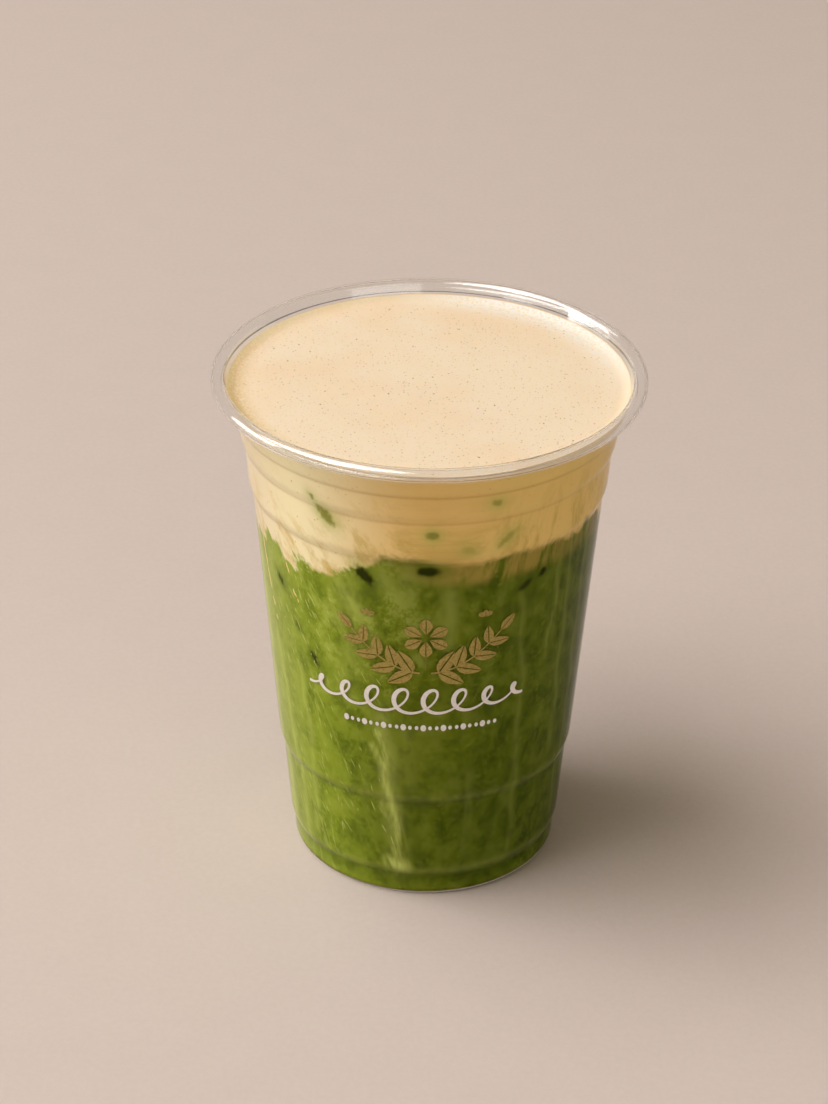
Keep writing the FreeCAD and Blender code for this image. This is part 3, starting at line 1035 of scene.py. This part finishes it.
def make_rivulets(rivulets):
    """Cream and milk that have run down inside the wall in thin lines, over the drink's side.

    Both are wet against the wall, so they have no gloss: the cream gives the eye bright threads, and the milk
    short scratches that are only a little paler than the drink.
    """
    wall = bpy.data.objects["matcha_drink"]
    degree = math.radians(1) * WALL_RADIUS
    rng = random.Random(rivulets.seed)
    lines = []
    for top_angle, top, low_angle, low, width in RIVULETS:
        line = []
        for i in range(9):
            t = i / 8
            taper = min(1.0, 0.25 + 4 * t * (1 - t)) * rng.uniform(0.75, 1.1)
            wobble = 0.35 * MM * noise.noise(Vector((top_angle, t * 3, 0)))
            line.append(((top_angle + (low_angle - top_angle) * t) * degree + wobble,
                         (top + (low - top) * t) * MM, 0.0, width * MM * taper, 0.0))
        lines.append(line)
    tree = ribbon_tree()
    lay(drawn("cream_rivulets", lines), tree, wall, plain_finish("cream_run_down", "#E3C088", 0.8, 0.0),
        Flatness=0.4)

    lines = []
    for _ in range(rivulets.count):
        angle, top = rng.gauss(-50, 17), rng.uniform(12, 84)
        length, leaning = rng.uniform(0.4, 1.0) ** 2 * 2.8, rng.gauss(0.5, 0.2)
        if angle < -84 or angle > -8 or top + length > 88:
            continue
        width = rng.uniform(0.11, 0.26) * MM
        lines.append([
            (angle * degree - leaning * (1 - i / 4) * length * MM, (top - length * i / 4) * MM, 0.0,
             width * swelling, 0.0) for i, swelling in enumerate((0.3, 0.9, 1.0, 0.8, 0.25))])
    lay(drawn("milk_scratches", lines), tree, wall, plain_finish("milk_run_down", "#A4AA5C", 0.8, 0.0),
        Flatness=0.4)


def twig(side, over):
    """A twig that curves up to one side, with leaves in pairs along it and one at its tip."""
    line = []
    for i in range(TWIG_STEPS + 1):
        t = i / TWIG_STEPS
        line.append((side * (1.2 + 15.2 * t) * MM, (TWIG_FOOT + 1.0 * t + 9.0 * t * t) * MM, -over,
                     (0.5 - 0.22 * t) * MM, 0.0))
    leaves = []
    for k, i in enumerate(LEAF_STEPS):
        root, ahead = line[i], line[i + 1]
        heading = math.atan2(ahead[1] - root[1], ahead[0] - root[0])
        for tilt in (48, -44):
            leaves.append((root[0], root[1], 0.0, 1.0 - 0.09 * k, -(heading + side * math.radians(tilt))))
    tip, before = line[-1], line[-2]
    leaves.append((tip[0], tip[1], 0.0, 0.7, -math.atan2(tip[1] - before[1], tip[0] - before[0])))
    return line, leaves


def coil(over):
    """A line of round loops, largest in the middle, that is broad where a pen would press."""
    line = []
    for i in range(COIL_STEPS + 1):
        u = i / COIL_STEPS
        turn = 2 * math.pi * COIL_LOOPS * u
        swell = 0.35 + 0.65 * math.sin(math.pi * u) ** 0.7
        rise = -3.3 * swell * math.cos(turn)
        x = COIL_LEFT + COIL_LENGTH * u + 2.9 * swell * math.sin(turn) + 0.3 * rise
        # Where the line crosses itself, one strand lies a little over the other.
        lifted = over + 0.008 * MM * math.sin(turn)
        line.append((x * MM, (COIL_HEIGHT + rise) * MM, -lifted,
                     (0.5 + 0.6 * (0.5 - 0.5 * math.sin(turn))) * MM, 0.0))
    return line


def make_print(ink):
    """Two gold twigs with a blossom between them, over a white coil and a row of small marks.

    Both are screen inks, printed on the outside of the sheet and cured: satin, a little raised, and broken by
    the screen's mesh. The mesh is about a tenth of a millimetre, and is drawn coarser so that it shows.
    """
    wall = bpy.data.objects["cup_wall"]
    near, far = ink.gap, ink.gap + ink.thickness
    over = (near + far) / 2
    gold = plain_finish("gold_ink", "#AC954C", 0.5, 0.3, "#84702F", 0.5, 0.75)
    white = plain_finish("white_ink", "#F1EAE4", 0.55, 0.3, "#DCD2CA", 0.8, 0.5)
    ribbons, shapes = ribbon_tree(), shape_tree()

    twigs = [twig(side, over) for side in (-1, 1)]
    stems = [line for line, _ in twigs]
    stems.append([(0.0, (BLOSSOM_FOOT + BLOSSOM_STEM * i / 8) * MM, -over, 0.5 * MM, 0.0) for i in range(9)])
    leaves = [leaf for _, grown in twigs for leaf in grown]
    lay(drawn("print_stems", stems), ribbons, wall, gold, Flatness=ink.thickness / (0.5 * MM))
    leaf = flat_shape("leaf", leaf_strips(6.5 * MM, 1.45 * MM, 0.14 * MM, 0.8), near, far)
    lay(drawn("print_leaves", [leaves], joined=False), shapes, wall, gold, Shape=leaf)

    petals = [(0.0, BLOSSOM_HEIGHT * MM, 0.0, 1.0, math.radians(-90 - 360 / PETALS * k))
              for k in range(PETALS)]
    petals += [(side * BUD_SIDE * MM, BUD_HEIGHT * MM, 0.0, 0.42, math.radians(-90 + tilt))
               for side in (-1, 1) for tilt in (0, -40, 40)]
    strips = [[tuple((x + 0.9 * MM, z) for x, z in pair) for pair in rows]
              for rows in leaf_strips(4.3 * MM, 1.3 * MM, 0.1 * MM, 1.35)]
    petal = flat_shape("petal", strips, near, far)
    lay(drawn("print_petals", [petals], joined=False), shapes, wall, gold, Shape=petal)

    lay(drawn("print_coil", [coil(over)]), ribbons, wall, white, Flatness=ink.thickness / (0.6 * MM))
    marks = [((MARKS_LEFT + MARKS_PITCH * k) * MM, MARKS_HEIGHT * MM, 0.0, 1.0 if k % 3 else 1.55, 0.0)
             for k in range(MARKS)]
    dot = flat_shape("dot", dot_strips(0.85 * MM, 1.15 * MM), near, far)
    lay(drawn("print_marks", [marks], joined=False), shapes, wall, white, Shape=dot)
    for shape in (leaf, petal, dot):
        bpy.data.objects.remove(shape)


# ---- the stage


def make_stage(stage):
    """A plain pale floor, two soft lamps on the left, an even fill and the camera."""
    half = stage.floor_size / 2
    floor = new_mesh_object("floor", [(-half, -half, 0), (half, -half, 0), (half, half, 0), (-half, half, 0)],
                            [], [(0, 1, 2, 3)])
    floor.data.materials.append(seamless_paper(stage))

    for name, power, azimuth, height, distance, width, tall in (
        ("high_softbox", stage.high_power, 80.8, 60.7, 2.0, 1.79, 1.50),
        ("low_softbox", stage.low_power, 99.0, 14.3, 3.0, 1.78, 1.78),
        ("front_fill", stage.front_power, -25.0, 9.0, 2.0, 1.4, 1.0),
    ):
        lamp = bpy.data.lights.new(name, "AREA")
        lamp.shape = "RECTANGLE"
        lamp.size, lamp.size_y = width, tall
        lamp.energy = power
        lamp.color = stage.lamp_colour[:3]
        holder = bpy.data.objects.new(name, lamp)
        bpy.context.scene.collection.objects.link(holder)
        a, e = math.radians(azimuth), math.radians(height)
        towards = Vector((-math.cos(e) * math.sin(a), -math.cos(e) * math.cos(a), math.sin(e)))
        holder.location = towards * distance + Vector((0, 0, 0.06))
        holder.rotation_euler = towards.to_track_quat("Z", "Y").to_euler()
        # The fill would show as a hard bright rectangle in the rim, so nothing mirrors it.
        holder.visible_glossy = name != "front_fill"

    world = bpy.data.worlds.new("studio")
    bpy.context.scene.world = world
    world.use_nodes = True
    tree = world.node_tree
    tree.nodes.clear()
    fill = add(tree, "ShaderNodeBackground",
               {"Color": list(stage.fill_colour), "Strength": stage.fill_strength})
    seen = add(tree, "ShaderNodeBackground", {"Color": list(stage.backdrop_colour), "Strength": 1.0})
    path = add(tree, "ShaderNodeLightPath")
    seen_by = add(tree, MATH, (path.outputs["Is Camera Ray"], path.outputs["Is Glossy Ray"]), **LARGER)
    seen_by = add(tree, MATH, (seen_by, path.outputs["Is Transmission Ray"]), **LARGER)
    studio = add(tree, "ShaderNodeMixShader", (seen_by, fill, seen))
    add(tree, "ShaderNodeOutputWorld", {"Surface": studio})

    lens = bpy.data.cameras.new("camera")
    lens.lens = stage.focal_length
    lens.clip_start, lens.clip_end = 0.05, 20
    camera = bpy.data.objects.new("camera", lens)
    bpy.context.scene.collection.objects.link(camera)
    camera.location = (0.0, -stage.camera_back, stage.camera_up)
    pitch, yaw, roll = stage.camera_pitch, stage.camera_yaw, stage.camera_roll
    forward = Vector((math.sin(yaw) * math.cos(pitch), math.cos(yaw) * math.cos(pitch), -math.sin(pitch)))
    right = Vector((math.cos(yaw), -math.sin(yaw), 0.0))
    up = right.cross(forward)
    tilted_right = right * math.cos(roll) + up * math.sin(roll)
    tilted_up = -right * math.sin(roll) + up * math.cos(roll)
    camera.rotation_euler = Matrix((tilted_right, tilted_up, -forward)).transposed().to_euler()
    bpy.context.scene.camera = camera
    bpy.context.scene.view_settings.view_transform = "Standard"


# ---- settings


def a_length(label, about, default):
    return FloatProperty(name=label, description=about, default=default, unit="LENGTH", precision=5)


def a_number(label, about, default, **kind):
    return FloatProperty(name=label, description=about, default=default, **kind)


def a_count(label, about, default, least=0):
    return IntProperty(name=label, description=about, default=default, min=least)


def a_colour(label, about, code):
    return FloatVectorProperty(name=label, description=about, subtype="COLOR", size=4, default=linear(code))


class CupSettings(bpy.types.PropertyGroup):
    rim_radius: a_length("Rim radius", "From the axis to the outside of the rolled rim",
                         (CUP_HIGH.x - CUP_LOW.x) / 2)
    height: a_length("Height", "From the foot to the top of the rim", CUP_HIGH.z - CUP_LOW.z)
    sheet: a_length("Sheet", "Thickness of the plastic", 0.5 * MM)
    bead: a_length("Bead", "Outside diameter of the rolled rim", 3.3 * MM)
    steps: a_count("Steps per turn", "Faces round the cup", 256, 48)
    roughness: a_number("Roughness", "Roughness of the plastic", 0.02, subtype="FACTOR")
    ior: a_number("IOR", "How strongly the plastic bends and mirrors light", 1.12)
    rim_shine: a_number("Rim shine", "How strongly the rim mirrors light", 2.0)


class DrinkSettings(bpy.types.PropertyGroup):
    bite: a_length("Bite", "How far the drink reaches into the wall's thickness", 0.06 * MM)
    # The four greens are one matcha painted with light and shade: paler towards the lamps and darker away
    # from them.
    matcha_lit: a_colour("Lit matcha", "The green on the lit side, where light passes into it", "#8A9343")
    matcha_left: a_colour("Left matcha", "The green between the lit side and the front", "#7C8B25")
    matcha: a_colour("Matcha", "The green at the front", "#5F6A11")
    matcha_far: a_colour("Far matcha", "The green on the side away from the light", "#525E0C")
    # Shade darkens the tea-rich patches, which are the drink's own, and gives the painted shade in creases,
    # at the foot and away from the lamps.
    shade: a_colour("Shade", "What tea-rich patches and creases are multiplied by", "#A6B08A")
    # Milk lightens the milky patches, which are the drink's own, and also gives the painted glints on the
    # ledges.
    milk: a_colour("Milk", "What milky patches are lightened by", "#B4B868")
    mottling: a_number("Mottling", "How strong the tea-rich patches are", 0.7)
    stain: a_colour("Stain", "Cream drawn down into the matcha", "#96823C")
    cream: a_colour("Cream", "The cream's surface", "#FFE6CA")
    cream_warm: a_colour("Warm cream", "Patches of the surface", "#FDDFBE")
    cream_fleck: a_colour("Fleck", "Fine marks on the surface", "#F0D6AC")
    # Painted shade where the surface climbs the wall, most on the lit side.
    cream_edge_shade: a_colour("Edge", "The surface where it climbs the wall", "#D2BA78")
    # Painted highlight of the lamps along the far edge, broken into dots.
    cream_sheen: a_colour("Sheen", "The fine bubbles at the far edge", "#FFF5EA")
    # The four cream sides are one cream painted with light and shade for how light falls on each side of the
    # cup.
    cream_lit: a_colour("Lit cream side", "The cream behind the lit side of the wall", "#CDBC9D")
    cream_left: a_colour("Left cream side", "The cream between the lit side and the front", "#DFD1A8")
    cream_front: a_colour("Front cream side", "The cream behind the front of the wall", "#D9B46E")
    cream_far: a_colour("Far cream side", "The cream away from the light", "#D6B66C")
    # Painted shade in the cream under each ledge.
    cream_shade: a_colour("Cream crease", "What the cream is multiplied by under a ledge", "#B89A66")
    cream_stained: a_colour("Stained side", "Cream with some tea in it", "#B79A50")
    # The ice shade colours are painted shade in the thin drink round ice; the ice colours are the painted
    # dark seen through clear ice.
    ice_shade: a_colour("Ice shade", "Matcha beside ice", "#4C5A10")
    ice_shade_in_cream: a_colour("Ice shade in cream", "Cream beside ice", "#93A048")
    ice: a_colour("Ice", "Ice that touches the wall in the matcha", "#262A06")
    ice_shadow_in_cream: a_colour("Ice in cream", "Ice that touches the wall in the cream", "#77742E")


class RivuletSettings(bpy.types.PropertyGroup):
    seed: a_count("Seed", "Chooses where the thin lines of milk run", 4)
    count: a_count("Lines", "How many thin lines of milk", 190, 1)


class SpeckSettings(bpy.types.PropertyGroup):
    dust_per_m2: a_number("Dust", "Faint specks per square metre", 420000.0)
    grains_per_m2: a_number("Grains", "Dark grains per square metre", 18000.0)


class PrintSettings(bpy.types.PropertyGroup):
    thickness: a_length("Ink", "Thickness of the ink", 0.03 * MM)
    gap: a_length("Gap", "How far the ink's back is from the wall", 0.01 * MM)


class StageSettings(bpy.types.PropertyGroup):
    floor_size: a_length("Floor", "Side of the floor", 8.0)
    floor_colour: a_colour("Floor colour", "Colour of the paper", "#DECEC8")
    backdrop_colour: a_colour("Backdrop", "What the camera, gloss and clear plastic see round it", "#CDBBAF")
    fill_colour: a_colour("Fill colour", "Colour of the even light", "#FFF1CB")
    lamp_colour: a_colour("Lamp colour", "Colour of the soft lamps", "#FFFDFB")
    fill_strength: a_number("Fill", "Strength of the even light", 0.22)
    high_power: a_number("High softbox", "Power of the high lamp in watts", 33.4)
    low_power: a_number("Low softbox", "Power of the low lamp in watts", 32.4)
    front_power: a_number("Front fill", "Power of the weak lamp in front in watts", 6.7)
    focal_length: a_number("Lens", "Focal length in mm on a 36 mm frame", 104.27)
    camera_back: a_length("Camera distance", "From the cup's axis to the camera", 0.64035)
    camera_up: a_length("Camera height", "From the floor to the camera", 0.44429)
    camera_pitch: a_number("Pitch", "How far the camera looks down", math.radians(29.97), unit="ROTATION")
    camera_yaw: a_number("Yaw", "How far the camera turns right", math.radians(-0.272), unit="ROTATION")
    camera_roll: a_number("Roll", "How far the camera leans", math.radians(0.603), unit="ROTATION")


# ---- operators and panel


class LATTE_OT_cup(bpy.types.Operator):
    """Builds the clear cup"""
    bl_idname = "latte.cup"
    bl_label = "Clear cup"

    def execute(self, context):
        make_cup(context.scene.latte_cup)
        return {"FINISHED"}


class LATTE_OT_drink(bpy.types.Operator):
    """Builds the matcha and the cream on it"""
    bl_idname = "latte.drink"
    bl_label = "Matcha and cream"

    def execute(self, context):
        make_drink(context.scene.latte_cup, context.scene.latte_drink)
        return {"FINISHED"}


class LATTE_OT_rivulets(bpy.types.Operator):
    """Runs cream and milk down inside the wall"""
    bl_idname = "latte.rivulets"
    bl_label = "Rivulets"

    def execute(self, context):
        make_rivulets(context.scene.latte_rivulets)
        return {"FINISHED"}


class LATTE_OT_specks(bpy.types.Operator):
    """Scatters tea dust and grains on the cream"""
    bl_idname = "latte.specks"
    bl_label = "Tea specks"

    def execute(self, context):
        make_specks(context.scene.latte_specks)
        return {"FINISHED"}


class LATTE_OT_print(bpy.types.Operator):
    """Prints the gold twigs and blossom and the white coil and marks on the cup"""
    bl_idname = "latte.print"
    bl_label = "Print"

    def execute(self, context):
        make_print(context.scene.latte_print)
        return {"FINISHED"}


class LATTE_OT_stage(bpy.types.Operator):
    """Sets the floor, the light and the camera"""
    bl_idname = "latte.stage"
    bl_label = "Stage"

    def execute(self, context):
        make_stage(context.scene.latte_stage)
        return {"FINISHED"}


STEPS = (
    (LATTE_OT_cup, CupSettings, "latte_cup"),
    (LATTE_OT_drink, DrinkSettings, "latte_drink"),
    (LATTE_OT_rivulets, RivuletSettings, "latte_rivulets"),
    (LATTE_OT_specks, SpeckSettings, "latte_specks"),
    (LATTE_OT_print, PrintSettings, "latte_print"),
    (LATTE_OT_stage, StageSettings, "latte_stage"),
)


class LATTE_PT_panel(bpy.types.Panel):
    """Lists every step with its settings"""
    bl_idname = "LATTE_PT_panel"
    bl_label = "Matcha latte"
    bl_space_type = "VIEW_3D"
    bl_region_type = "UI"
    bl_category = "Latte"

    def draw(self, context):
        for operator, settings, name in STEPS:
            box = self.layout.box()
            box.operator(operator.bl_idname)
            group = getattr(context.scene, name)
            for key in settings.__annotations__:
                box.prop(group, key)


def register():
    for operator, settings, name in STEPS:
        bpy.utils.register_class(settings)
        bpy.utils.register_class(operator)
        setattr(bpy.types.Scene, name, PointerProperty(type=settings))
    bpy.utils.register_class(LATTE_PT_panel)


def unregister():
    bpy.utils.unregister_class(LATTE_PT_panel)
    for operator, settings, name in reversed(STEPS):
        delattr(bpy.types.Scene, name)
        bpy.utils.unregister_class(operator)
        bpy.utils.unregister_class(settings)


def main():
    register()
    bpy.ops.latte.cup()
    bpy.ops.latte.drink()
    bpy.ops.latte.rivulets()
    bpy.ops.latte.specks()
    bpy.ops.latte.print()
    bpy.ops.latte.stage()


if __name__ == "__main__":
    main()
